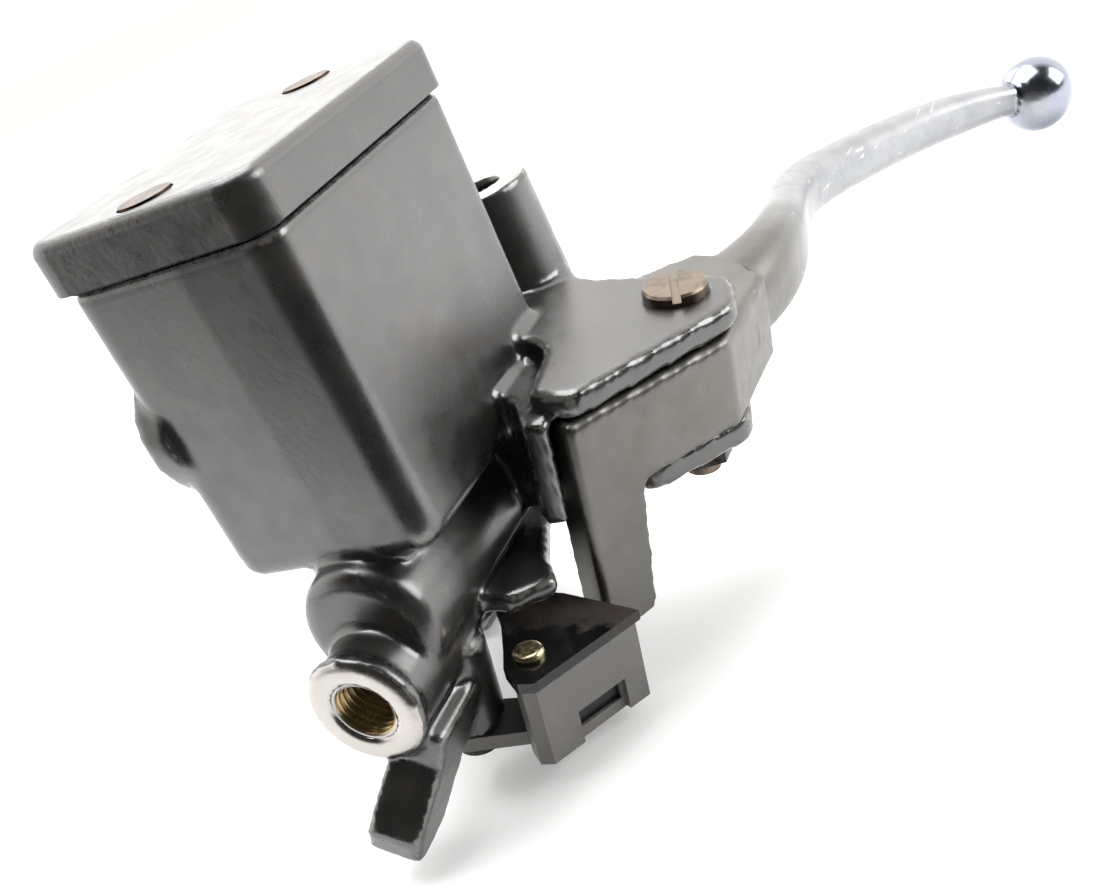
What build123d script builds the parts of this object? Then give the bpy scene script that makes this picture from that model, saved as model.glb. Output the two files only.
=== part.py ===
from build123d import *
from math import cos, radians, sin
import os

# Left-hand hydraulic brake master cylinder for a 22 mm motorcycle handlebar.
# Millimetres. The origin is the middle of the handlebar clamp, on the handlebar's axis.
# +X points to the hose end of the cylinder (the rider's right), +Y forwards, +Z up.

# ---------------------------------------------------------------- driving dimensions

# Handlebar clamp
bar_r = 11.1
clamp_width = 24.0
clamp_outer_r = 15.8
clamp_split = 0.7
clamp_ear_top = 21.5
clamp_bolt_z = 16.4
clamp_bolt_r = 3.0

# Cylinder: its axis runs along X at this height and distance in front of the bar
cylinder_y = 30.0
cylinder_z = 13.0
cylinder_r = 11.0
bore_r = 6.35
mouth_x = 10.0
bore_end_x = 52.0
head_x = 57.5
mouth_flange_r = 12.6

# Hose outlet, below the bore's axis
outlet_z = 6.0
outlet_x = 66.0
outlet_r = 9.25
outlet_thread_r = 4.5
outlet_depth = 11.0

# Reservoir
res_x = 27.1
res_y = 27.3
res_length = 53.8
res_width = 37.2
res_floor_z = 22.0
res_rim_z = 70.6
res_wall = 3.0
res_corner_r = 4.0
res_draft = 0.7
cover_overhang = 1.0
cover_bottom_z = 71.2
cover_top_z = 78.6
flange_top_z = 71.6
cover_screw_pitch = 44.0

# Sight glass in the rear wall of the reservoir
glass_x = 44.0
glass_z = 46.2
glass_boss_r = 10.9
glass_face_y = 7.2

# Mirror boss
mirror_x = -13.0
mirror_y = 36.0
mirror_top_z = 51.5
mirror_r = 9.0
mirror_thread_r = 4.25
mirror_depth = 17.0

# Lever pivot. The lever's plane leans forwards by the tilt.
tilt = 12.0
pivot = (-2.5, 64.9, 16.9)
root_half = 7.6
arm_top = 3.2
ear_gap_half = 7.8
top_ear_out = 12.0
low_ear_out = -12.4
pivot_screw_r = 4.0
pivot_thread_r = 3.0
bush_r = 5.0
face_turn = 146.8
leg_depth = 7.0
leg_bottom = -30.7
knob_r = 9.0

# Piston
piston_end_x = -3.2
stem_r = 4.5
fit = 0.05

# Brake light switch, measured in the lever's plane
plate_top = -22.4
plate_thick = 1.8
switch_bottom = -39.2
socket_top = -30.6
switch_foot_top = -35.4
switch_screw_at = (49.5, -27.0)
rivet_at = (48.6, -14.8)
plunger_v = -11.0
plunger_w = -27.6

lever_plane = Plane(
    origin=pivot, x_dir=(1, 0, 0), z_dir=(0, sin(radians(tilt)), cos(radians(tilt)))
)
lever_axis = Axis(pivot, lever_plane.z_dir)
# The flat face of the lever's root: its plane's x runs along the face, its z outwards
face_corner = (33.8, -7.6)
face_plane = Plane(
    origin=lever_plane.from_local_coords((face_corner[0], face_corner[1], 0)),
    x_dir=lever_plane.from_local_coords((cos(radians(face_turn)), sin(radians(face_turn)), 0))
    - lever_plane.origin,
    z_dir=lever_plane.from_local_coords((-cos(radians(face_turn + 90)), -sin(radians(face_turn + 90)), 0))
    - lever_plane.origin,
)

os.makedirs("parts", exist_ok=True)


def across(x, y=cylinder_y, z=cylinder_z):
    """A plane square to X, its own x along +Y, looking along +X."""
    return Plane(origin=(x, y, z), x_dir=(0, 1, 0), z_dir=(1, 0, 0))


def facing_y(y, x=0.0, z=0.0):
    """A plane square to Y, its own x along +X, looking along -Y."""
    return Plane(origin=(x, y, z), x_dir=(1, 0, 0), z_dir=(0, -1, 0))


def disc(plane, radius, length):
    """A round bar standing on the plane, or sunk in it where the length is negative."""
    with BuildPart(mode=Mode.PRIVATE) as bar:
        with BuildSketch(plane):
            Circle(radius)
        extrude(amount=length)
    return bar.part


def ring(plane, outer, inner, length):
    """A washer or tube standing on the plane."""
    with BuildPart(mode=Mode.PRIVATE) as tube:
        with BuildSketch(plane):
            Circle(outer)
            Circle(inner, mode=Mode.SUBTRACT)
        extrude(amount=length)
    return tube.part


def in_lever_plane(u, v, w):
    """The lever's plane with its origin moved to the point (u, v, w) in it."""
    return Plane(
        origin=lever_plane.from_local_coords((u, v, w)), x_dir=lever_plane.x_dir, z_dir=lever_plane.z_dir
    )


def coil(plane, radius, wire_r, turns, length):
    """An open helical spring that starts on the plane."""
    with BuildPart(mode=Mode.PRIVATE) as spring:
        with BuildLine() as path:
            Helix(pitch=length / turns, height=length, radius=radius, center=plane.origin, direction=plane.z_dir)
        with BuildSketch(Plane(origin=path.line @ 0, z_dir=path.line % 0)):
            Circle(wire_r)
        sweep()
    return spring.part


def save(builder, name):
    """Label a finished piece and write its STEP file."""
    builder.part.label = name
    export_step(builder.part, f"parts/{name}.step")


# ---------------------------------------------------------------- the casting

top_ear_points = [
    (32.0, -6.7),
    (4.0, 10.6),
    (-7.4, 7.6),
    (-7.4, -18.0),
    (-19.4, -29.0),
    (-19.4, -40.5),
    (14.0, -40.5),
    (14.0, -17.0),
    (30.5, -14.0),
    (31.8, -11.0),
]
low_ear_points = [
    (20.5, -1.6),
    (4.0, 10.6),
    (-7.4, 7.6),
    (-7.4, -7.0),
    (5.0, -13.0),
    (13.0, -21.5),
    (13.0, -30.0),
    (25.0, -30.0),
    (25.0, -17.5),
    (16.5, -10.0),
]
shelf_top = -14.5
shelf_points = [(20, -34), (45, -34), (45, -17), (40, -12), (38.5, -12.5), (33.6, -15.6), (25.5, -18.4), (20, -20)]
stop_wall_points = [
    (34.6, -10.6),
    (32.4, -10.6),
    (31.7, -14.6),
    (25.0, -14.6),
    (22.0, -16.8),
    (13.0, -16.8),
    (13.0, -30.0),
    (20.0, -30.0),
    (28.0, -18.0),
    (34.6, -14.2),
]

with BuildPart() as master_cylinder_body:
    # Reservoir: drafted towards its floor, with a crease on the mould's parting line
    with BuildSketch(Plane.XY.offset(res_rim_z)):
        with Locations((res_x, res_y)):
            RectangleRounded(res_length, res_width, res_corner_r)
    extrude(amount=-(res_rim_z - res_floor_z), taper=res_draft)
    fillet(master_cylinder_body.faces().sort_by(Axis.Z)[0].edges(), 3.5)
    # Neck under the reservoir that carries the ports
    with BuildSketch(Plane.XY.offset(cylinder_z)):
        with Locations((mouth_x + 20, cylinder_y)):
            RectangleRounded(40, 17, 3)
    extrude(amount=res_floor_z - cylinder_z + 4)
    # Cylinder, its closed head, its open mouth
    add(disc(across(mouth_x), cylinder_r, head_x - mouth_x))
    fillet(master_cylinder_body.faces().filter_by(GeomType.PLANE).sort_by(Axis.X)[-1].edges(), 3.0)
    add(disc(across(mouth_x), mouth_flange_r, 6.0))
    # Hose outlet with its bare turned face
    add(disc(across(outlet_x - 30, cylinder_y, outlet_z), 8.7, 30))
    add(disc(across(outlet_x - 2.2, cylinder_y, outlet_z), outlet_r, 2.2))
    # Stop for the hose fitting: a foot that hangs from the outlet and juts out past its face
    with BuildSketch(Plane(origin=(outlet_x, cylinder_y + 3.5, outlet_z), x_dir=(1, 0, 0), z_dir=(0, 0.87, -0.5))):
        with BuildLine():
            Polyline((-16, 5), (-2.5, 5), (-2, 11), (5.5, 20), (4, 26), (-5, 25), (-13, 15), close=True)
        make_face()
        fillet(vertices().sort_by(Axis.X)[-2:], 1.5)
    extrude(amount=8.5)
    # Handlebar saddle and the web that joins it to the cylinder
    with BuildSketch(across(-clamp_width / 2, 0, 0)):
        Circle(clamp_outer_r)
        with Locations((7.5, 0)):
            Rectangle(15, 2 * clamp_ear_top)
        with Locations((-30, 0)):
            Rectangle(60 + 2 * clamp_split, 80, mode=Mode.SUBTRACT)
    extrude(amount=clamp_width)
    with BuildSketch(across(-clamp_width / 2, 0, 0)):
        with BuildLine():
            Polyline((8, -12), (14, -12), (19, -4), (19, 20), (8, 20), close=True)
        make_face()
    extrude(amount=clamp_width)
    with BuildSketch(across(0, 0, 0)):
        with BuildLine():
            Polyline((12.6, -12), (14, -12), (19, -4), (19, 20), (12.6, 20), close=True)
        make_face()
    extrude(amount=34)
    with BuildSketch(across(mouth_x + 0.5, 0, 0)):
        with BuildLine():
            Polyline((14, -11), (26, 1), (26, 24), (14, 20), close=True)
        make_face()
    extrude(amount=24)
    # Rib from the saddle up to the mirror boss, clear of the lever's nose
    with BuildSketch(across(-20, 0, 0)):
        with BuildLine():
            Polyline((8, 14), (18, 14), (23.5, 20), (24, 24.5), (31, 31.5), (31, 35.2), (24, 35.2), (8, 21.5), close=True)
        make_face()
    extrude(amount=15)
    # Mirror boss
    with BuildSketch(Plane.XY.offset(mirror_top_z)):
        with Locations((mirror_x, mirror_y)):
            Circle(mirror_r)
    extrude(amount=-21.0, taper=-1.5)
    # Lever ears and the wall that joins them and stops the lever
    with BuildSketch(lever_plane.offset(ear_gap_half)):
        with BuildLine():
            Polyline(*top_ear_points, close=True)
        make_face()
        fillet(vertices().sort_by_distance((32.0, -6.7, 0))[0], 1.5)
        fillet(vertices().sort_by_distance((4.0, 10.6, 0))[0], 4.5)
        fillet(vertices().sort_by_distance((-7.4, 7.6, 0))[0], 6.0)
        fillet(vertices().sort_by_distance((-7.4, -18.0, 0))[0], 8.0)
        fillet(vertices().sort_by_distance((14.0, -17.0, 0))[0], 6.0)
        fillet(vertices().sort_by_distance((-19.4, -40.5, 0))[0], 6.0)
        fillet(vertices().sort_by_distance((-19.4, -29.0, 0))[0], 6.0)
    extrude(amount=top_ear_out - ear_gap_half)
    with BuildSketch(lever_plane.offset(-ear_gap_half)):
        with BuildLine():
            Polyline(*low_ear_points, close=True)
        make_face()
        fillet(vertices().sort_by_distance((20.5, -1.6, 0))[0], 2.5)
        fillet(vertices().sort_by_distance((4.0, 10.6, 0))[0], 4.5)
        fillet(vertices().sort_by_distance((-7.4, 7.6, 0))[0], 6.0)
    extrude(amount=low_ear_out + ear_gap_half)
    with BuildSketch(lever_plane.offset(-ear_gap_half - 1)):
        with BuildLine():
            Polyline(*stop_wall_points, close=True)
        make_face()
    extrude(amount=2 * ear_gap_half + 2)
    # Shelf that guards the switch from above, out of the cylinder's flank
    with BuildSketch(lever_plane.offset(shelf_top)):
        with BuildLine():
            Polyline(*shelf_points, close=True)
        make_face()
    extrude(amount=-3.5)
    # Seat for the brake light switch, under the cylinder
    with BuildSketch(lever_plane.offset(switch_foot_top)):
        with Locations(switch_screw_at):
            Circle(5.4)
    extrude(amount=16)
    # Sight glass boss
    add(disc(facing_y(res_y - res_width / 2 + 4, glass_x, glass_z), glass_boss_r,
             res_y - res_width / 2 + 4 - glass_face_y))

    # Reservoir cavity, leaving two posts for the cover screws
    with BuildSketch(Plane.XY.offset(res_rim_z)):
        with Locations((res_x, res_y)):
            RectangleRounded(res_length - 2 * res_wall, res_width - 2 * res_wall, 2.5)
        with Locations(
            (res_x - cover_screw_pitch / 2 - 1.0, res_y), (res_x + cover_screw_pitch / 2 + 1.0, res_y)
        ):
            Rectangle(12, 9, mode=Mode.SUBTRACT)
    extrude(amount=-(res_rim_z - res_floor_z - 4), taper=res_draft, mode=Mode.SUBTRACT)
    for side in (-1, 1):
        with Locations(Plane(origin=(res_x + side * cover_screw_pitch / 2, res_y, res_rim_z))):
            Hole(radius=2.0, depth=16)
    # Bore, circlip groove and the two ports from the reservoir
    add(disc(across(mouth_x), bore_r, bore_end_x - mouth_x), mode=Mode.SUBTRACT)
    add(disc(across(mouth_x + 0.8), 7.2, 1.1), mode=Mode.SUBTRACT)
    for port_x, port_r in ((mouth_x + 28, 0.6), (mouth_x + 17, 1.5)):
        with Locations(Plane(origin=(port_x, cylinder_y, res_floor_z + 4))):
            Hole(radius=port_r, depth=res_floor_z + 4 - cylinder_z)
    # Outlet: tapped hole, then a drilling that breaks into the bottom of the bore
    add(disc(across(outlet_x - outlet_depth, cylinder_y, outlet_z), outlet_thread_r, outlet_depth),
        mode=Mode.SUBTRACT)
    add(disc(across(bore_end_x - 1, cylinder_y, cylinder_z - 4.8), 1.0, 5.0), mode=Mode.SUBTRACT)
    # Handlebar bore and clamp bolt holes
    add(disc(across(-clamp_width, 0, 0), bar_r, 2 * clamp_width), mode=Mode.SUBTRACT)
    for side in (-1, 1):
        add(disc(facing_y(17, 0, side * clamp_bolt_z), clamp_bolt_r + 0.03, 19), mode=Mode.SUBTRACT)
    # Mirror thread, pivot holes
    with Locations(Plane(origin=(mirror_x, mirror_y, mirror_top_z))):
        Hole(radius=mirror_thread_r, depth=mirror_depth)
    add(disc(lever_plane.offset(ear_gap_half - 1), pivot_screw_r + fit, 8), mode=Mode.SUBTRACT)
    add(disc(lever_plane.offset(low_ear_out - 1), pivot_thread_r + fit, 8), mode=Mode.SUBTRACT)
    # Switch screw hole
    add(disc(in_lever_plane(*switch_screw_at, switch_foot_top), 2.0 + 0.03, 10), mode=Mode.SUBTRACT)
    # Sight glass seat and window
    add(disc(facing_y(glass_face_y + 5.3, glass_x, glass_z), 8.5, 8), mode=Mode.SUBTRACT)
    add(disc(facing_y(res_y - res_width / 2 + 8, glass_x, glass_z), 6.5, 8), mode=Mode.SUBTRACT)
save(master_cylinder_body, "master_cylinder_body")


# ---------------------------------------------------------------- reservoir

with BuildPart() as reservoir_cover:
    with BuildSketch(Plane.XY.offset(cover_bottom_z)):
        with Locations((res_x, res_y)):
            RectangleRounded(
                res_length + 2 * cover_overhang, res_width + 2 * cover_overhang, res_corner_r + cover_overhang
            )
    extrude(amount=cover_top_z - cover_bottom_z)
    fillet(reservoir_cover.faces().sort_by(Axis.Z)[-1].edges(), 1.9)
    # Recess over the diaphragm's flange, and the pocket that its plate and bellows work in
    with BuildSketch(Plane.XY.offset(cover_bottom_z)):
        with Locations((res_x, res_y)):
            RectangleRounded(res_length - 0.8, res_width - 0.8, res_corner_r - 0.4)
    extrude(amount=flange_top_z - cover_bottom_z, mode=Mode.SUBTRACT)
    with BuildSketch(Plane.XY.offset(flange_top_z)):
        with Locations((res_x, res_y)):
            RectangleRounded(24.5, 27.0, 3)
    extrude(amount=3.2, mode=Mode.SUBTRACT)
    for side in (-1, 1):
        with Locations(Plane(origin=(res_x + side * cover_screw_pitch / 2, res_y, cover_top_z))):
            CounterBoreHole(radius=2.15, counter_bore_radius=4.0, counter_bore_depth=1.8)
save(reservoir_cover, "reservoir_cover")

with BuildPart() as cover_screws:
    for side in (-1, 1):
        foot = Plane(origin=(res_x + side * cover_screw_pitch / 2, res_y, cover_top_z - 1.8))
        add(disc(foot, 3.7, 2.1))
        add(disc(foot, 1.95, -(cover_top_z - 1.8 - res_rim_z + 14)))
save(cover_screws, "cover_screws")

with BuildPart() as diaphragm:
    with BuildSketch(Plane.XY.offset(res_rim_z)):
        with Locations((res_x, res_y)):
            RectangleRounded(res_length - 1.4, res_width - 1.4, res_corner_r - 0.7)
        with Locations(
            (res_x - cover_screw_pitch / 2, res_y), (res_x + cover_screw_pitch / 2, res_y)
        ):
            Circle(2.2, mode=Mode.SUBTRACT)
    extrude(amount=flange_top_z - res_rim_z)
    # The bellows hangs into the fluid and is open at the top
    with BuildSketch(Plane.XY.offset(res_rim_z)):
        with Locations((res_x, res_y)):
            RectangleRounded(23.0, 25.0, 3)
    extrude(amount=-11.0, taper=6)
    with BuildSketch(Plane.XY.offset(flange_top_z)):
        with Locations((res_x, res_y)):
            RectangleRounded(20.6, 22.6, 2)
    extrude(amount=-10.8, taper=6, mode=Mode.SUBTRACT)
save(diaphragm, "diaphragm")

with BuildPart() as diaphragm_plate:
    with BuildSketch(Plane.XY.offset(flange_top_z)):
        with Locations((res_x, res_y)):
            RectangleRounded(24.0, 26.4, 2.7)
            Circle(2.0, mode=Mode.SUBTRACT)
    extrude(amount=1.2)
save(diaphragm_plate, "diaphragm_plate")

with BuildPart() as port_cover:
    # Splash shield over the two ports, on four short feet
    shield_z = res_floor_z + 4
    with BuildSketch(Plane.XY.offset(shield_z + 1.6)):
        with Locations((mouth_x + 18.6, cylinder_y)):
            RectangleRounded(23, 12, 2)
    extrude(amount=1.0)
    with BuildSketch(Plane.XY.offset(shield_z)):
        with Locations((mouth_x + 18.6, cylinder_y)):
            with GridLocations(19, 9, 2, 2):
                Circle(1.0)
    extrude(amount=1.6)
save(port_cover, "port_cover")

glass_seat_y = glass_face_y + 5.3
with BuildPart() as sight_glass_seal:
    add(ring(facing_y(glass_seat_y, glass_x, glass_z), 8.45, 6.6, 1.0))
save(sight_glass_seal, "sight_glass_seal")

with BuildPart() as sight_glass:
    add(disc(facing_y(glass_seat_y - 1.0, glass_x, glass_z), 8.45, 2.4))
save(sight_glass, "sight_glass")

with BuildPart() as sight_glass_ring:
    add(ring(facing_y(glass_seat_y - 3.4, glass_x, glass_z), 8.47, 6.8, 1.4))
save(sight_glass_ring, "sight_glass_ring")

# ---------------------------------------------------------------- handlebar clamp

with BuildPart() as clamp_cap:
    with BuildSketch(across(-clamp_width / 2, 0, 0)):
        Circle(clamp_outer_r)
        with Locations((-5.5, 0)):
            Rectangle(9.0, 2 * clamp_ear_top)
        with Locations((30, 0)):
            Rectangle(60 + 2 * clamp_split, 80, mode=Mode.SUBTRACT)
    extrude(amount=clamp_width)
    add(disc(across(-clamp_width, 0, 0), bar_r, 2 * clamp_width), mode=Mode.SUBTRACT)
    for side in (-1, 1):
        add(disc(facing_y(5, 0, side * clamp_bolt_z), clamp_bolt_r + 0.2, 30), mode=Mode.SUBTRACT)
        add(disc(facing_y(-10, 0, side * clamp_bolt_z), 6.8, 10), mode=Mode.SUBTRACT)
save(clamp_cap, "clamp_cap")

with BuildPart() as clamp_bolts:
    for side in (-1, 1):
        seat = facing_y(-10.0, 0, side * clamp_bolt_z)
        add(disc(seat, 6.2, 1.4))
        with BuildSketch(seat):
            RegularPolygon(5.0 / cos(radians(30)), 6)
        extrude(amount=6.0)
        add(disc(seat, clamp_bolt_r, -25.0))
save(clamp_bolts, "clamp_bolts")

# ---------------------------------------------------------------- lever

root_points = [
    face_corner,
    (7.3, 9.75),
    (-16.0, 10.3),
    (-26.0, -3.6),
    (-19.6, -10.4),
    (-12.5, -16.0),
    (9.5, -14.8),
    (14.5, -16.5),
    (21.0, -16.5),
    (24.0, -13.9),
    (29.97, -13.46),
]
arm_points = [(-12.5, -14.0), (-12.0, -33.3), (-1.4, -33.3), (-0.5, -24.0), (5.0, -13.5)]
# Blade: middle of each section along and across the lever's plane, its height, width and depth
blade_sections = [
    (-10.0, 0.5, 0.0, 20.0, 15.0),
    (-25.0, 3.4, 0.0, 14.0, 15.2),
    (-36.0, 5.8, 0.0, 10.8, 15.0),
    (-49.0, 5.6, -0.6, 8.8, 14.0),
    (-67.0, 2.6, -2.9, 8.2, 12.4),
    (-84.0, 2.0, -5.3, 8.6, 11.2),
    (-98.0, 4.8, -7.3, 9.6, 10.6),
    (-115.0, 10.6, -9.6, 9.8, 10.2),
    (-134.0, 18.6, -12.2, 9.2, 9.8),
    (-150.0, 27.6, -14.5, 8.2, 9.0),
    (-160.0, 34.8, -16.2, 7.0, 7.6),
    (-165.5, 40.0, -17.3, 6.8, 7.4),
]
knob_at = (-168.0, 42.4, -17.7)

with BuildPart() as brake_lever:
    with BuildSketch(lever_plane.offset(-root_half)):
        with BuildLine():
            Polyline(*root_points, close=True)
        make_face()
    extrude(amount=2 * root_half)
    # Arm that reaches behind the pivot, and the round nose that pushes the piston
    with BuildSketch(lever_plane.offset(-root_half)):
        with BuildLine():
            Polyline(*arm_points, close=True)
        make_face()
    extrude(amount=root_half - arm_top)
    nose_r = 5.0
    nose_at = (piston_end_x - 0.3 - nose_r - pivot[0], -33.3)
    add(disc(in_lever_plane(*nose_at, -17.0), nose_r, 17.0 - arm_top))
    # Leg at the lever's inner end that holds the brake light switch open
    with BuildSketch(face_plane):
        with BuildLine():
            Polyline(
                (0, 0), (0, leg_bottom), (8.6, leg_bottom), (9.8, leg_bottom + 1.6), (11.9, -root_half), (11.9, 0),
                close=True,
            )
        make_face()
    extrude(amount=-leg_depth)
    # Blade and its round end
    stations = [lever_plane.from_local_coords(s[:3]) for s in blade_sections]
    for i, (u, v, w, width, depth) in enumerate(blade_sections):
        along = stations[min(i + 1, len(stations) - 1)] - stations[max(i - 1, 0)]
        with BuildSketch(Plane(origin=stations[i], x_dir=along.cross(lever_plane.z_dir), z_dir=along)):
            RectangleRounded(width, depth, 0.42 * min(width, depth))
    loft()
    with Locations(lever_plane.from_local_coords(knob_at)):
        Sphere(knob_r)
    add(disc(lever_plane.offset(-20), bush_r, 40), mode=Mode.SUBTRACT)
save(brake_lever, "brake_lever")

with BuildPart() as pivot_bush:
    add(ring(lever_plane.offset(-root_half), bush_r, pivot_screw_r + fit, 2 * root_half))
save(pivot_bush, "pivot_bush")

with BuildPart() as pivot_screw:
    add(disc(lever_plane.offset(top_ear_out), 5.3, 1.8))
    chamfer(pivot_screw.faces().sort_by(lever_axis)[-1].edges(), 0.4)
    with BuildSketch(lever_plane.offset(top_ear_out + 1.8)):
        Rectangle(12, 1.4, rotation=19)
    extrude(amount=-1.1, mode=Mode.SUBTRACT)
    add(disc(lever_plane.offset(-root_half), pivot_screw_r, root_half + top_ear_out))
    add(disc(lever_plane.offset(-20.0), pivot_thread_r, 12.4))
save(pivot_screw, "pivot_screw")

with BuildPart() as pivot_nut:
    with BuildSketch(lever_plane.offset(low_ear_out)):
        RegularPolygon(5.0 / cos(radians(30)), 6)
        Circle(pivot_thread_r + 0.02, mode=Mode.SUBTRACT)
    extrude(amount=-5.0)
save(pivot_nut, "pivot_nut")

# ---------------------------------------------------------------- bore

cup_front_x = mouth_x + 26.0
with BuildPart() as piston:
    for x, radius, length in (
        (piston_end_x, stem_r, 17.0),
        (piston_end_x + 17.0, bore_r - fit, 2.4),
        (piston_end_x + 19.4, 4.4, 2.6),
        (piston_end_x + 22.0, bore_r - fit, 3.0),
        (piston_end_x + 25.0, 4.4, 7.0),
        (piston_end_x + 32.0, bore_r - fit, cup_front_x - 3.2 - piston_end_x - 32.0),
        (cup_front_x - 3.2, 3.2, 4.2),
    ):
        add(disc(across(x), radius, length))
save(piston, "piston")

with BuildPart() as primary_cup:
    add(ring(across(cup_front_x - 3.2), bore_r - fit, 3.2, 3.2))
    add(ring(across(cup_front_x - 1.6), bore_r - 1.2, 4.0, 1.6), mode=Mode.SUBTRACT)
save(primary_cup, "primary_cup")

with BuildPart() as secondary_cup:
    add(ring(across(piston_end_x + 19.4), bore_r - fit, 4.4, 2.6))
save(secondary_cup, "secondary_cup")

with BuildPart() as return_spring:
    add(coil(across(cup_front_x + 1.0), 3.95, 0.55, 5, bore_end_x - cup_front_x - 1.8))
save(return_spring, "return_spring")

with BuildPart() as piston_washer:
    add(ring(across(mouth_x + 1.9), bore_r - 0.03, stem_r + 0.1, 0.9))
save(piston_washer, "piston_washer")

with BuildPart() as circlip:
    add(ring(across(mouth_x + 0.85), 7.15, 5.3, 1.0))
    with Locations((mouth_x + 1.3, cylinder_y, cylinder_z - 7)):
        Box(3, 3.4, 6, mode=Mode.SUBTRACT)
save(circlip, "circlip")

with BuildPart() as dust_boot:
    # Bellows between the cylinder's mouth and a groove near the end of the piston
    boot_outer = [(0.0, 8.6), (-1.6, 8.6), (-2.6, 7.2), (-4.0, 8.3), (-5.4, 6.9), (-6.8, 7.8), (-8.2, 6.2), (-10.4, 5.9)]
    with BuildSketch(Plane(origin=(mouth_x, cylinder_y, cylinder_z), x_dir=(1, 0, 0), z_dir=(0, -1, 0))):
        with BuildLine():
            Polyline(
                *boot_outer, (-10.4, stem_r + fit), (-8.6, stem_r + fit),
                *[(x, r - 1.0) for x, r in reversed(boot_outer[1:-1])], (0.0, 7.6), close=True,
            )
        make_face()
    revolve(axis=Axis((mouth_x, cylinder_y, cylinder_z), (1, 0, 0)))
save(dust_boot, "dust_boot")

# ---------------------------------------------------------------- brake light switch

plate_points = [
    (54.8, -11.8), (36.6, -1.2), (33.4, -14.6), (33.4, -24.8), (37.8, -24.8), (42.0, -22.0), (48.2, -19.2),
    (52.2, -17.6), (55.2, -14.6)
]
case_points = [
    (54.0, -12.2), (36.8, -2.1), (34.0, -14.0), (34.0, -20.0), (43.0, -20.2), (48.4, -18.2), (51.8, -16.8), (54.4, -14.4)
]
case_top = plate_top - plate_thick
front_turn = 149.6

with BuildPart() as switch_cover_plate:
    with BuildSketch(lever_plane.offset(case_top)):
        with BuildLine():
            Polyline(*plate_points, close=True)
        make_face()
    extrude(amount=plate_thick)
    fillet(switch_cover_plate.edges().filter_by(lever_axis).sort_by(Axis.X)[-3:], 1.2)
    add(disc(in_lever_plane(*rivet_at, case_top - 1), 1.5, 6), mode=Mode.SUBTRACT)
save(switch_cover_plate, "switch_cover_plate")

with BuildPart() as switch_housing:
    with BuildSketch(lever_plane.offset(case_top)):
        with BuildLine():
            Polyline(*case_points, close=True)
        make_face()
    extrude(amount=switch_bottom - case_top)
    # Foot that is screwed up against the casting
    with BuildSketch(lever_plane.offset(switch_foot_top)):
        with Locations(switch_screw_at):
            Circle(5.0)
        with BuildLine():
            Polyline((43.5, -18), (45.5, -28), (54.2, -25.5), (51.5, -17), close=True)
        make_face()
    extrude(amount=-2.6)
    # Plug socket, open underneath, with a notch in its front wall
    with BuildSketch(lever_plane.offset(switch_bottom)):
        with BuildLine():
            Polyline(*case_points, close=True)
        make_face()
        offset(amount=-1.6, kind=Kind.INTERSECTION)
    extrude(amount=socket_top - switch_bottom, mode=Mode.SUBTRACT)
    front_plane = Plane(
        origin=lever_plane.from_local_coords((54.0, -12.2, switch_bottom)),
        x_dir=lever_plane.from_local_coords((cos(radians(front_turn)), sin(radians(front_turn)), 0))
        - lever_plane.origin,
        z_dir=lever_plane.from_local_coords((sin(radians(front_turn)), -cos(radians(front_turn)), 0))
        - lever_plane.origin,
    )
    with BuildSketch(front_plane.offset(1)):
        with Locations((11.0, 0)):
            Rectangle(9.6, 12.2)
    extrude(amount=-2.0, mode=Mode.SUBTRACT)
    with BuildSketch(front_plane):
        with Locations((11.0, 4.1)):
            Rectangle(8.4, 4.0)
    extrude(amount=-2.2, mode=Mode.SUBTRACT)
    # Guide for the plunger and chamber for its spring
    guide = Plane(origin=lever_plane.from_local_coords((46.5, plunger_v, plunger_w)), x_dir=(0, 1, 0), z_dir=(-1, 0, 0))
    add(disc(guide, 2.2, 9.5), mode=Mode.SUBTRACT)
    add(disc(guide, 1.5 + fit, 20), mode=Mode.SUBTRACT)
    add(disc(in_lever_plane(*rivet_at, case_top - 4.0), 1.5, 6), mode=Mode.SUBTRACT)
    add(disc(in_lever_plane(*switch_screw_at, switch_foot_top - 4), 2.1, 6), mode=Mode.SUBTRACT)
save(switch_housing, "switch_housing")

with BuildPart() as switch_rivet:
    add(disc(in_lever_plane(*rivet_at, plate_top - 5.6), 1.48, 5.6))
    add(disc(in_lever_plane(*rivet_at, plate_top), 2.55, 1.3))
    fillet(switch_rivet.faces().sort_by(lever_axis)[-1].edges(), 0.9)
save(switch_rivet, "switch_rivet")

with BuildPart() as switch_plunger:
    shank = Plane(origin=lever_plane.from_local_coords((43.4, plunger_v, plunger_w)), x_dir=(0, 1, 0), z_dir=(-1, 0, 0))
    add(disc(shank, 1.5, 43.4 - 32.9))
    add(disc(shank, 2.1, 1.4))
save(switch_plunger, "switch_plunger")

with BuildPart() as switch_spring:
    add(coil(guide.offset(0.3), 1.6, 0.2, 5, 2.5))
save(switch_spring, "switch_spring")

with BuildPart() as switch_contact_block:
    with BuildSketch(lever_plane.offset(socket_top)):
        with BuildLine():
            Polyline((50.0, -13.2), (38.8, -6.6), (37.4, -14.4), (43.0, -17.2), close=True)
        make_face()
    extrude(amount=-2.4)
    # Guard behind the window of the housing
    with BuildSketch(lever_plane.offset(socket_top)):
        with BuildLine():
            Polyline((48.73, -11.31), (38.72, -5.44), (38.11, -6.47), (48.12, -12.34), close=True)
        make_face()
    extrude(amount=-7.4)
save(switch_contact_block, "switch_contact_block")

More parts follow.
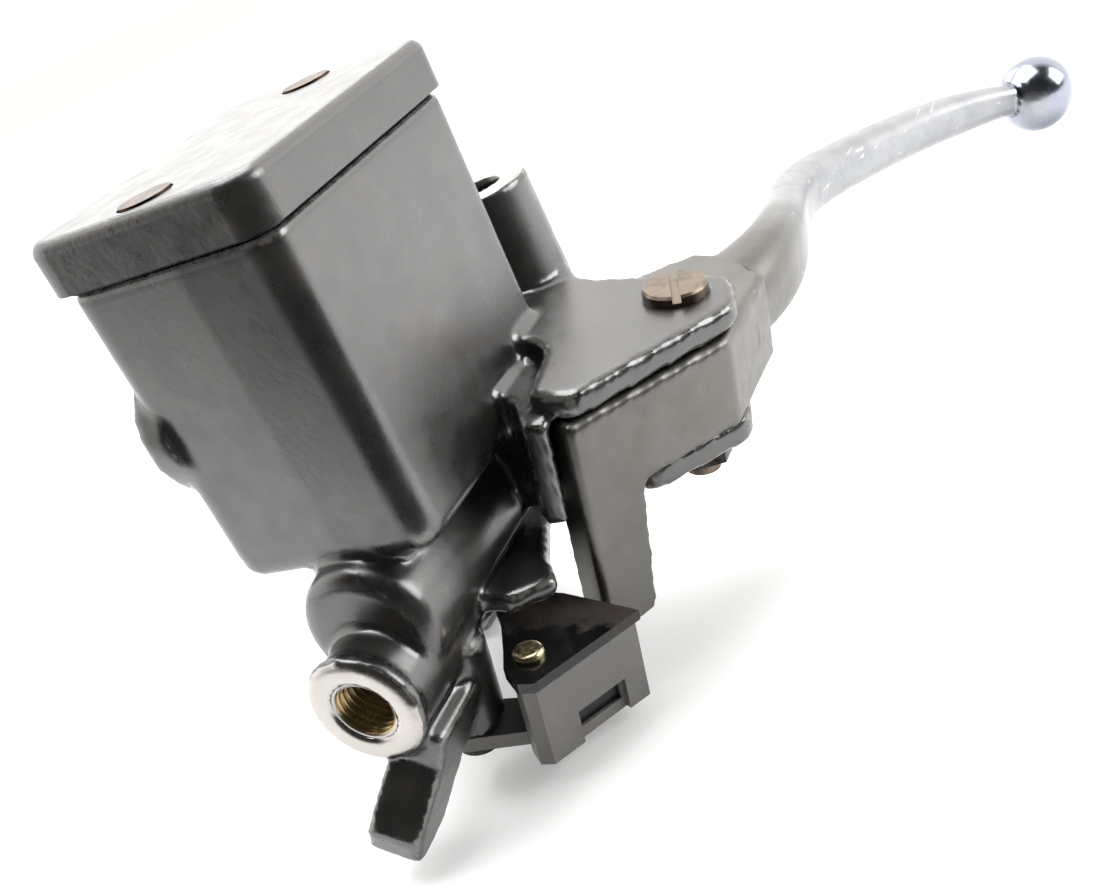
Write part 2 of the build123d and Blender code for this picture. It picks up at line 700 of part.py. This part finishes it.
with BuildPart() as switch_terminals:
    for u, v in ((45.6, -12.6), (40.6, -11.0)):
        with BuildSketch(in_lever_plane(u, v, socket_top - 2.4)):
            Rectangle(3.0, 0.8)
        extrude(amount=-5.4)
save(switch_terminals, "switch_terminals")

with BuildPart() as switch_screw:
    foot = in_lever_plane(*switch_screw_at, switch_foot_top - 2.6)
    add(disc(foot, 3.6, -2.2))
    add(disc(foot, 2.0, 11.5))
    with BuildSketch(foot.offset(-2.2)):
        Rectangle(4.6, 1.0)
        Rectangle(1.0, 4.6)
    extrude(amount=1.2, mode=Mode.SUBTRACT)
save(switch_screw, "switch_screw")
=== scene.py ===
import bmesh
import bpy
import math
from mathutils import Euler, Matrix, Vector
from mathutils.bvhtree import BVHTree


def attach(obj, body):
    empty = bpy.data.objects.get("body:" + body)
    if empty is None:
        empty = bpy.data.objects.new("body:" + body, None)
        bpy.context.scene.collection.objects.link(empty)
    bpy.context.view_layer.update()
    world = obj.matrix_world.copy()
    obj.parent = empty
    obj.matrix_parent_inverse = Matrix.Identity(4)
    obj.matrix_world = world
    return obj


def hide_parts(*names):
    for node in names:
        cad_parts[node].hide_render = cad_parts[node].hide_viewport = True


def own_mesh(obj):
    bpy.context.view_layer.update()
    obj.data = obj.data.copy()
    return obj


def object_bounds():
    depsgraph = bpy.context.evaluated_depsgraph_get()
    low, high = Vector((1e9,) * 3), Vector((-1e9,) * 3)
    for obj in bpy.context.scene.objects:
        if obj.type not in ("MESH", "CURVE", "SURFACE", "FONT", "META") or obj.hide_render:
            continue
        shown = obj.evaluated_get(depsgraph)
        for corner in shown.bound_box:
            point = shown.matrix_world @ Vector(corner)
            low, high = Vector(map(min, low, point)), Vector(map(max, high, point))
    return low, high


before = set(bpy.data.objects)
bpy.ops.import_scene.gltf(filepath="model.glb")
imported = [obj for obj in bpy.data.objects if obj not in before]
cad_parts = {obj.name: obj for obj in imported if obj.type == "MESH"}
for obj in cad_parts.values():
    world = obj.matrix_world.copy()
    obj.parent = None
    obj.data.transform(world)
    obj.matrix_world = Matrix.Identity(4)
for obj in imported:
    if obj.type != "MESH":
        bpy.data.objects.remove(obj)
cad_box = [list(corner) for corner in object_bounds()]

# ---------------------------------------------------------------- camera, floor and light
# The unit sits on white paper, seen from above its hose end, under a large soft tent. The room on
# the camera's side shows only as dark reflections in the round corners.

towards_camera = (0.741, 0.489, 0.460)
open_tent, dark_room = 1.9, 0.05

camera = bpy.data.objects.new("camera", bpy.data.cameras.new("camera"))
camera.location = (0.1861, 0.1504, 0.1026)
camera.rotation_euler = Euler([math.radians(a) for a in (60.10, 22.755, 110.906)])
camera.data.lens = 44.45
camera.data.sensor_width = 36
camera.data.shift_y = 0.0934
camera.data.clip_start = 0.01
bpy.context.scene.collection.objects.link(camera)
bpy.context.scene.camera = camera
bpy.context.scene.view_settings.view_transform = "Standard"

table = bmesh.new()
bmesh.ops.create_grid(table, x_segments=1, y_segments=1, size=3)
bmesh.ops.translate(table, verts=table.verts, vec=(0, 0, cad_box[0][2] - 0.0002))
table_mesh = bpy.data.meshes.new("table")
table.to_mesh(table_mesh)
table_top = bpy.data.objects.new("table", table_mesh)
bpy.context.scene.collection.objects.link(table_top)


class Flow:
    """One output of a material's nodes. Arithmetic on it adds Math nodes."""

    def __init__(self, finish, socket):
        self.finish, self.socket = finish, socket

    def math(self, operation, *values):
        return self.finish.node("ShaderNodeMath", {"operation": operation}, *values)

    def __add__(self, other):
        return self.math("ADD", self, other)

    def __sub__(self, other):
        return self.math("SUBTRACT", self, other)

    def __mul__(self, other):
        return self.math("MULTIPLY", self, other)

    def __gt__(self, other):
        return self.math("GREATER_THAN", self, other)

    def __lt__(self, other):
        return self.math("LESS_THAN", self, other)

    __radd__ = __add__
    __rmul__ = __mul__


class Finish:
    """A material built on one Principled shader, whose steady values are set on its own sockets."""

    def __init__(self, name, color, roughness, metallic=0.0, **steady):
        self.material = bpy.data.materials.new(name)
        self.material.use_nodes = True
        self.tree = self.material.node_tree
        self.shader = self.tree.nodes["Principled BSDF"]
        self.shader.inputs["Base Color"].default_value = (*color, 1)
        self.shader.inputs["Roughness"].default_value = roughness
        self.shader.inputs["Metallic"].default_value = metallic
        for socket, value in steady.items():
            self.shader.inputs[socket.replace("_", " ")].default_value = value

    def node(self, kind, settings, *values, out=0):
        made = self.tree.nodes.new(kind)
        for key, value in settings.items():
            setattr(made, key, value)
        for place, value in values if values and isinstance(values[0], tuple) else enumerate(values):
            socket = made.inputs[place]
            if isinstance(value, Flow):
                self.tree.links.new(value.socket, socket)
            else:
                socket.default_value = value
        return Flow(self, made.outputs[out])

    def place(self, scale=(1, 1, 1), shift=(0, 0, 0)):
        """Object coordinates, stretched and shifted."""
        here = self.node("ShaderNodeTexCoord", {}, out="Object")
        return self.node("ShaderNodeMapping", {}, ("Vector", here), ("Location", shift), ("Scale", scale))

    def noise(self, size, detail=4, rough=0.6, at=None):
        """Cloudy noise whose lumps are about that many metres across."""
        return self.node(
            "ShaderNodeTexNoise", {}, ("Vector", at or self.place()), ("Scale", 1 / size), ("Detail", detail),
            ("Roughness", rough),
        )

    def span(self, value, low, high, to_low=0.0, to_high=1.0):
        """The value's climb from low to high, carried over to another range and held there."""
        return self.node(
            "ShaderNodeMapRange", {"interpolation_type": "SMOOTHSTEP"},
            ("Value", value), ("From Min", low), ("From Max", high), ("To Min", to_low), ("To Max", to_high),
        )

    def mix(self, share, one, other):
        one, other = [c if isinstance(c, Flow) else (*c, 1) for c in (one, other)]
        return self.node("ShaderNodeMix", {"data_type": "RGBA"}, (0, share), (6, one), (7, other), out=2)

    def made_with(self, name):
        """A value stored on the mesh's points."""
        return self.node("ShaderNodeAttribute", {"attribute_name": name}, out="Fac")

    def axis(self, letter):
        """The X, Y or Z of the point in the object's own frame, in metres."""
        here = self.node("ShaderNodeTexCoord", {}, out="Object")
        return self.node("ShaderNodeSeparateXYZ", {}, here, out=letter)

    def feed(self, **flows):
        for socket, flow in flows.items():
            self.tree.links.new(flow.socket, self.shader.inputs[socket.replace("_", " ")])

    def bump(self, height, strength, depth):
        """Raises the surface by the height, whose full range stands for that many metres."""
        settings = ("Strength", strength), ("Distance", depth), ("Height", height)
        self.feed(Normal=self.node("ShaderNodeBump", {}, *settings, out="Normal"))


white_ends, dark_starts = 0.095, 0.140  # along the floor towards the camera; past this band the paper is painted black in glossy rays, a painted shade for the dark room
# Painted light: the paper glows a little in its own white (emission 0.22), which lifts it to full white and
# lightens its shadows.
paper = Finish("white_paper_painted_glow_and_shade", (0.92, 0.92, 0.92), 0.9, Emission_Strength=0.22)
ahead = paper.axis("X") * 0.835 + paper.axis("Y") * 0.551
in_reflections = paper.node("ShaderNodeLightPath", {}, out="Is Glossy Ray")
# Painted shade: beyond the band the paper is black, but only in glossy rays, so the round corners reflect
# darkness.
painted_shade_in_reflections = paper.span(ahead, white_ends, dark_starts) * in_reflections
white = paper.mix(paper.noise(0.4), (0.90, 0.90, 0.90), (0.94, 0.94, 0.94))
paper.feed(
    Base_Color=paper.mix(painted_shade_in_reflections, white, (0.02, 0.02, 0.02)),
    Emission_Color=paper.mix(painted_shade_in_reflections, white, (0.0, 0.0, 0.0)),
)
table_mesh.materials.append(paper.material)

world = bpy.data.worlds.new("light_tent")
bpy.context.scene.world = world
world.use_nodes = True
tent = world.node_tree
facing = tent.nodes.new("ShaderNodeVectorMath")
facing.operation = "DOT_PRODUCT"
facing.inputs[1].default_value = towards_camera
shade = tent.nodes.new("ShaderNodeMapRange")
shade.interpolation_type = "SMOOTHSTEP"
for socket, value in (("From Min", 0.0), ("From Max", 0.45), ("To Min", open_tent), ("To Max", dark_room)):
    shade.inputs[socket].default_value = value
where = tent.nodes.new("ShaderNodeTexCoord")
tent.links.new(where.outputs["Generated"], facing.inputs[0])
tent.links.new(facing.outputs["Value"], shade.inputs["Value"])
backdrop = tent.nodes.new("ShaderNodeMix")
backdrop.inputs["B"].default_value = open_tent
ray = tent.nodes.new("ShaderNodeLightPath")
tent.links.new(ray.outputs["Is Camera Ray"], backdrop.inputs["Factor"])
tent.links.new(shade.outputs["Result"], backdrop.inputs["A"])
tent.links.new(backdrop.outputs["Result"], tent.nodes["Background"].inputs["Strength"])
tent.nodes["Background"].inputs["Color"].default_value = (1.0, 0.985, 0.96, 1)

for name, spot, aim, size, power in (
    ("overhead_softbox", (-0.15, -0.1, 0.75), (0, 0.03, 0), 0.7, 9.0),
    ("side_softbox", (-0.3, 0.8, 0.35), (0, 0.03, 0), 0.5, 5.0),
    ("back_softbox", (-0.62, -0.42, 0.42), (0, 0.03, 0.07), 0.45, 0.8),
):
    panel = bpy.data.lights.new(name, "AREA")
    panel.size = size
    panel.energy = power
    lamp = bpy.data.objects.new(name, panel)
    lamp.location = spot
    lamp.rotation_euler = (Vector(spot) - Vector(aim)).to_track_quat("Z", "Y").to_euler()
    bpy.context.scene.collection.objects.link(lamp)

# ---------------------------------------------------------------- the casting
# Body, reservoir and clamp saddle are one aluminium casting, painted satin black over rounded
# edges. The face of the hose outlet and the rim of the mirror boss are machined bare afterwards.


def held(value, low, high):
    """How far a value is from low to high, kept within 0 and 1."""
    return min(max((value - low) / (high - low), 0), 1)


def add_piece(name, mesh):
    piece = bpy.data.objects.new(name, mesh)
    bpy.context.scene.collection.objects.link(piece)
    return piece


def stand_for(piece, node, body):
    """The piece is shown in place of a CAD node and moves with that body."""
    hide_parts(node)
    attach(piece, body)


def rounded_copy(node, name, grain, passes, hold):
    """A CAD node remade as one even skin. Its flats stay where they are and its edges are worn round."""
    source = bmesh.new()
    source.from_mesh(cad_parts[node].data)
    bmesh.ops.remove_doubles(source, verts=source.verts, dist=1e-6)
    true_skin = BVHTree.FromBMesh(source)
    mesh = bpy.data.meshes.new(name)
    source.to_mesh(mesh)
    source.free()
    piece = add_piece(name, mesh)
    skin = piece.modifiers.new("skin", "REMESH")
    skin.mode = "VOXEL"
    skin.voxel_size = grain
    depsgraph = bpy.context.evaluated_depsgraph_get()
    evened = bpy.data.meshes.new_from_object(piece.evaluated_get(depsgraph))
    piece.modifiers.clear()
    work = bmesh.new()
    work.from_mesh(evened)
    for _ in range(passes):
        bmesh.ops.smooth_vert(
            work, verts=work.verts, factor=0.5, use_axis_x=True, use_axis_y=True, use_axis_z=True
        )
    worn = work.verts.layers.float.new("worn")
    hollow = work.verts.layers.float.new("hollow")
    for vert in work.verts:
        near, _, _, gap = true_skin.find_nearest(vert.co)
        inside = (near - vert.co).dot(vert.normal)
        vert[worn] = min(max(inside / hold, 0), 2)
        vert[hollow] = min(max(-inside / hold, 0), 2)
        stay = min(max((hold - gap) / (0.7 * hold), 0), 1)
        vert.co = vert.co.lerp(near, stay * stay * (3 - 2 * stay))
    for face in work.faces:
        face.smooth = True
    work.to_mesh(evened)
    work.free()
    piece.data = evened
    piece.data.materials.clear()
    return piece


casting = rounded_copy("master_cylinder_body", "casting", grain=0.0008, passes=5, hold=0.00022)
outlet_y, outlet_z, outlet_face = 0.030, 0.006, 0.066
thread_root, thread_crest, thread_pitch, thread_depth = 0.0050, 0.0043, 0.00125, 0.0100
tapping_room = thread_root + 0.0001
end_wall_from, reservoir_floor, end_wall_lean = 0.040, 0.0215, 0.055

shape = bmesh.new()
shape.from_mesh(casting.data)
for vert in shape.verts:
    # The tapping is opened out to take the thread.
    arm = Vector((0, vert.co.y - outlet_y, vert.co.z - outlet_z))
    in_depth = outlet_face - thread_depth < vert.co.x < outlet_face + 0.0005
    if in_depth and 0.003 < arm.length < tapping_room:
        arm *= tapping_room / arm.length
        vert.co.y, vert.co.z = outlet_y + arm.y, outlet_z + arm.z
    # The end wall of the reservoir folds back a little on one side of the mould's parting line.
    if vert.co.y < outlet_y and vert.co.z > reservoir_floor:
        lean = held(vert.co.x, end_wall_from, end_wall_from + 0.012)
        lean *= held(vert.co.z, reservoir_floor, reservoir_floor + 0.004)
        vert.co.x -= end_wall_lean * lean * (outlet_y - vert.co.y)
# The thread is a zigzag wall that climbs one pitch a turn, closed behind by a plain tube.
around, rows_a_pitch, tube_wall, thread_start = 64, 8, 0.0004, outlet_face - 0.0004
row_count = int(thread_depth / thread_pitch * rows_a_pitch) + 1


def thread_ring(along, radius_at):
    """One ring of points round the outlet's axis, with a radius for each turn from 0 to 1."""
    ring = []
    for spoke in range(around):
        radius, swing = radius_at(spoke / around), 2 * math.pi * spoke / around
        ring.append(shape.verts.new((
            along, outlet_y + radius * math.cos(swing), outlet_z + radius * math.sin(swing)
        )))
    return ring


def flank(phase):
    climb = abs(2 * (phase % 1) - 1)
    return thread_crest + (thread_root - thread_crest) * min(max(1.4 * climb - 0.2, 0), 1)


rings = []
for row in range(row_count):
    turned = row / rows_a_pitch
    rings.append(thread_ring(thread_start - turned * thread_pitch, lambda turn: flank(turned - turn)))
thread_end = thread_start - (row_count - 1) / rows_a_pitch * thread_pitch
for along in (thread_end, thread_start):
    rings.append(thread_ring(along, lambda turn: thread_root + tube_wall))
for near, far in zip(rings, rings[1:] + rings[:1]):
    for spoke in range(around):
        following = (spoke + 1) % around
        shape.faces.new((near[spoke], near[following], far[following], far[spoke])).smooth = True
shape.to_mesh(casting.data)
shape.free()
stand_for(casting, "master_cylinder_body", "housing")

black_paint = Finish("satin_black_paint", (0.02, 0.02, 0.02), 0.4, IOR=2.0)
dust = black_paint.span(black_paint.noise(0.012, 6), 0.42, 0.68)
scuff = black_paint.span(black_paint.made_with("worn") * black_paint.noise(0.0016, 5), 0.30, 0.62)
# Painted shade: the paint is darkened in hollows and fillets, where the smoothed skin lies outside the true
# one.
painted_hollow_shade = black_paint.span(black_paint.made_with("hollow"), 0.2, 1.4)
painted = black_paint.mix(dust, (0.009, 0.0087, 0.0082), (0.021, 0.0192, 0.0168))
painted = black_paint.mix(scuff, painted, (0.10, 0.095, 0.088))
painted = black_paint.mix(painted_hollow_shade * 0.6, painted, (0.006, 0.0055, 0.005))
x, y, z = [black_paint.axis(letter) for letter in "XYZ"]
outlet_reach = (y - outlet_y) * (y - outlet_y) + (z - outlet_z) * (z - outlet_z)
turned_face = (x > 0.0654) * (x < 0.0667) * (outlet_reach < 0.009154 ** 2)
mirror_x, mirror_y, mirror_rim = -0.013, 0.036, (0.0511, 0.0520)
mirror_reach = (x - mirror_x) * (x - mirror_x) + (y - mirror_y) * (y - mirror_y)
turned_rim = (z > mirror_rim[0]) * (z < mirror_rim[1]) * (mirror_reach < 0.00911 ** 2)
thread_from = outlet_face - thread_depth - 0.0005
thread = (x > thread_from) * (x < 0.0655) * (outlet_reach < 0.005477 ** 2)
bare = (turned_face + turned_rim + thread) > 0.5
machined = black_paint.mix(thread, (0.46, 0.44, 0.41), (0.46, 0.35, 0.18))
edges = black_paint.span(black_paint.made_with("worn") + black_paint.made_with("hollow"), 0.1, 1.2)
black_paint.feed(
    Base_Color=black_paint.mix(bare, painted, machined),
    Metallic=bare,
    Roughness=black_paint.span(black_paint.noise(0.004, 5), 0.3, 0.7, 0.27, 0.36) - edges * 0.12,
)
black_paint.bump(black_paint.noise(0.0011, 3), 0.25, 0.00008)
casting.data.materials.append(black_paint.material)

# ---------------------------------------------------------------- reservoir cover and its screws
# A die-cast lid in the same satin paint, held by two countersunk screws. Its top is slightly
# rough from the mould. The cap of the clamp has the same paint.


def dress(finish, *nodes):
    for node in nodes:
        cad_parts[node].data.materials.clear()
        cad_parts[node].data.materials.append(finish.material)


cover_paint = Finish("cover_paint", (0.02, 0.02, 0.02), 0.4, IOR=2.0)
cover_paint.feed(
    Base_Color=cover_paint.mix(
        cover_paint.span(cover_paint.noise(0.012, 6), 0.42, 0.68),
        (0.010, 0.0097, 0.0092),
        (0.022, 0.0205, 0.018),
    ),
    Roughness=cover_paint.span(cover_paint.noise(0.004, 5), 0.3, 0.7, 0.27, 0.37),
)
on_top = cover_paint.span(cover_paint.axis("Z"), 0.0782, 0.0785)
pebbles = on_top * cover_paint.noise(0.0024, 2) * 2.0
cover_paint.bump(cover_paint.noise(0.0011, 3) + pebbles, 0.3, 0.00016)
dress(cover_paint, "reservoir_cover", "clamp_cap")

# ---------------------------------------------------------------- lever
# A forged aluminium lever. Its root is tumbled and dull; the blade is buffed brighter by the
# rider's glove and scratched, and its ball end is polished.

lever = rounded_copy("brake_lever", "lever", grain=0.0007, passes=6, hold=0.00018)
stand_for(lever, "brake_lever", "lever")

alloy = Finish("tumbled_aluminium", (0.3, 0.29, 0.28), 0.42, 1.0)
along = alloy.axis("X")
buffed = alloy.span(along, -0.030, -0.060)
ball = alloy.span(along, -0.160, -0.164)
grime = alloy.span(alloy.noise(0.010, 5), 0.35, 0.75)
lines = alloy.span(alloy.noise(0.0012, 2, at=alloy.place((0.05, 1, 1))), 0.66, 0.72)
dull = alloy.mix(grime, (0.165, 0.160, 0.150), (0.140, 0.135, 0.125))
bright = alloy.mix(grime, (0.36, 0.365, 0.375), (0.29, 0.295, 0.31))
bright = alloy.mix(lines, bright, (0.55, 0.55, 0.55))
bright = alloy.mix(ball, bright, (0.30, 0.32, 0.38))
# Painted shade: the lever is darkened in its hollows and fillets.
hollow = alloy.span(alloy.made_with("hollow"), 0.2, 1.4)
alloy.feed(
    Base_Color=alloy.mix(hollow, alloy.mix(buffed, dull, bright), (0.03, 0.028, 0.025)),
    Roughness=alloy.span(alloy.noise(0.003, 5), 0.3, 0.7, 0.36, 0.44) - ball * 0.22,
)
alloy.bump(alloy.noise(0.0009, 4), 0.3, 0.00006)
lever.data.materials.append(alloy.material)

# ---------------------------------------------------------------- pieces whose CAD shape is shown
# Fasteners, rubber and the switch need only a finish. The switch's plate is gloss black where the
# lever's leg covers it, and dusty towards the cylinder.


def plain_metal(name, clean, stained, roughness, grain=0.003):
    """Bare or plated metal with stains and a little relief."""
    metal = Finish(name, clean, roughness, 1.0)
    metal.feed(
        Base_Color=metal.mix(metal.span(metal.noise(grain, 5), 0.4, 0.7), clean, stained),
        Roughness=metal.span(metal.noise(grain / 2, 4), 0.3, 0.7, roughness - 0.06, roughness + 0.08),
    )
    metal.bump(metal.noise(grain / 6, 3), 0.2, 0.00004)
    return metal


def plain_body(name, clean, dusty, roughness, grain=0.003):
    """Rubber, plastic or paint with dust in patches."""
    stuff = Finish(name, clean, roughness)
    stuff.feed(
        Base_Color=stuff.mix(stuff.span(stuff.noise(grain, 5), 0.45, 0.75), clean, dusty),
        Roughness=stuff.span(stuff.noise(grain / 2, 4), 0.3, 0.7, roughness - 0.05, roughness + 0.08),
    )
    stuff.bump(stuff.noise(grain / 6, 3), 0.2, 0.00005)
    return stuff


spring_wire = plain_metal("spring_steel", (0.50, 0.50, 0.52), (0.34, 0.33, 0.33), 0.25)
rubber = plain_body("black_rubber", (0.012, 0.012, 0.012), (0.03, 0.028, 0.026), 0.55)
dress(spring_wire, "return_spring", "switch_spring", "circlip")
dress(rubber, "diaphragm", "dust_boot", "primary_cup", "secondary_cup", "sight_glass_seal")
for (name, clean, stained, *rest), nodes in (
    (("bronzed_steel", (0.20, 0.16, 0.125), (0.12, 0.095, 0.075), 0.34), ("pivot_screw",)),
    (
        ("black_oxide", (0.05, 0.048, 0.045), (0.02, 0.018, 0.016), 0.38),
        ("pivot_nut", "clamp_bolts", "switch_screw"),
    ),
    (("rusty_oxide", (0.060, 0.045, 0.034), (0.12, 0.065, 0.035), 0.42), ("cover_screws",)),
    (
        ("zinc_steel", (0.55, 0.55, 0.54), (0.40, 0.38, 0.34), 0.30),
        ("sight_glass_ring", "piston_washer", "port_cover"),
    ),
    (("turned_aluminium", (0.60, 0.61, 0.63), (0.50, 0.50, 0.50), 0.28), ("piston",)),
    (("bronze_bush", (0.55, 0.38, 0.18), (0.36, 0.25, 0.12), 0.35), ("pivot_bush",)),
    (
        ("brass_rivet", (0.68, 0.58, 0.36), (0.42, 0.34, 0.20), 0.22, 0.0016),
        ("switch_rivet", "switch_terminals"),
    ),
):
    dress(plain_metal(name, clean, stained, *rest), *nodes)
plate = Finish("gloss_black_plate", (0.006, 0.006, 0.006), 0.2)
settled = plate.span(plate.axis("X") + plate.noise(0.003, 6) * 0.012, 0.0462, 0.0425)
brown_dust = plate.mix(plate.noise(0.0012), (0.030, 0.023, 0.018), (0.060, 0.047, 0.038))
plate.feed(
    Base_Color=plate.mix(settled, (0.006, 0.006, 0.006), brown_dust),
    Roughness=settled * 0.6 + 0.2,
)
plate.bump(settled * plate.noise(0.0006, 3), 0.5, 0.0001)
dress(plate, "switch_cover_plate")
grey_plastic = plain_body("grey_plastic", (0.13, 0.126, 0.12), (0.165, 0.156, 0.144), 0.45, 0.006)
dress(grey_plastic, "switch_housing")
black_plastic = plain_body("black_plastic", (0.01, 0.01, 0.01), (0.02, 0.02, 0.02), 0.4)
dress(black_plastic, "switch_contact_block", "switch_plunger", "diaphragm_plate")
clear = Finish("clear_window", (0.9, 0.93, 0.92), 0.06, Transmission_Weight=0.9, IOR=1.5)
clear.bump(clear.noise(0.004, 3), 0.1, 0.00003)
dress(clear, "sight_glass")

# ---------------------------------------------------------------- spring and boot on the piston
# Copies of the spring and the boot, each with its own mesh, move with the housing. The spring is held at the
# far end of the bore and the boot's lip is held in the mouth of it.

for node, name, finish, slot in (
    ("return_spring", "piston_spring", spring_wire, "spring_steel"),
    ("dust_boot", "piston_boot", rubber, "rubber"),
):
    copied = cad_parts[node].data.copy()
    copied.materials.clear()
    copied.materials.append(finish.material)
    piece = add_piece(name, copied)
    stand_for(piece, node, "housing")
    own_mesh(piece)
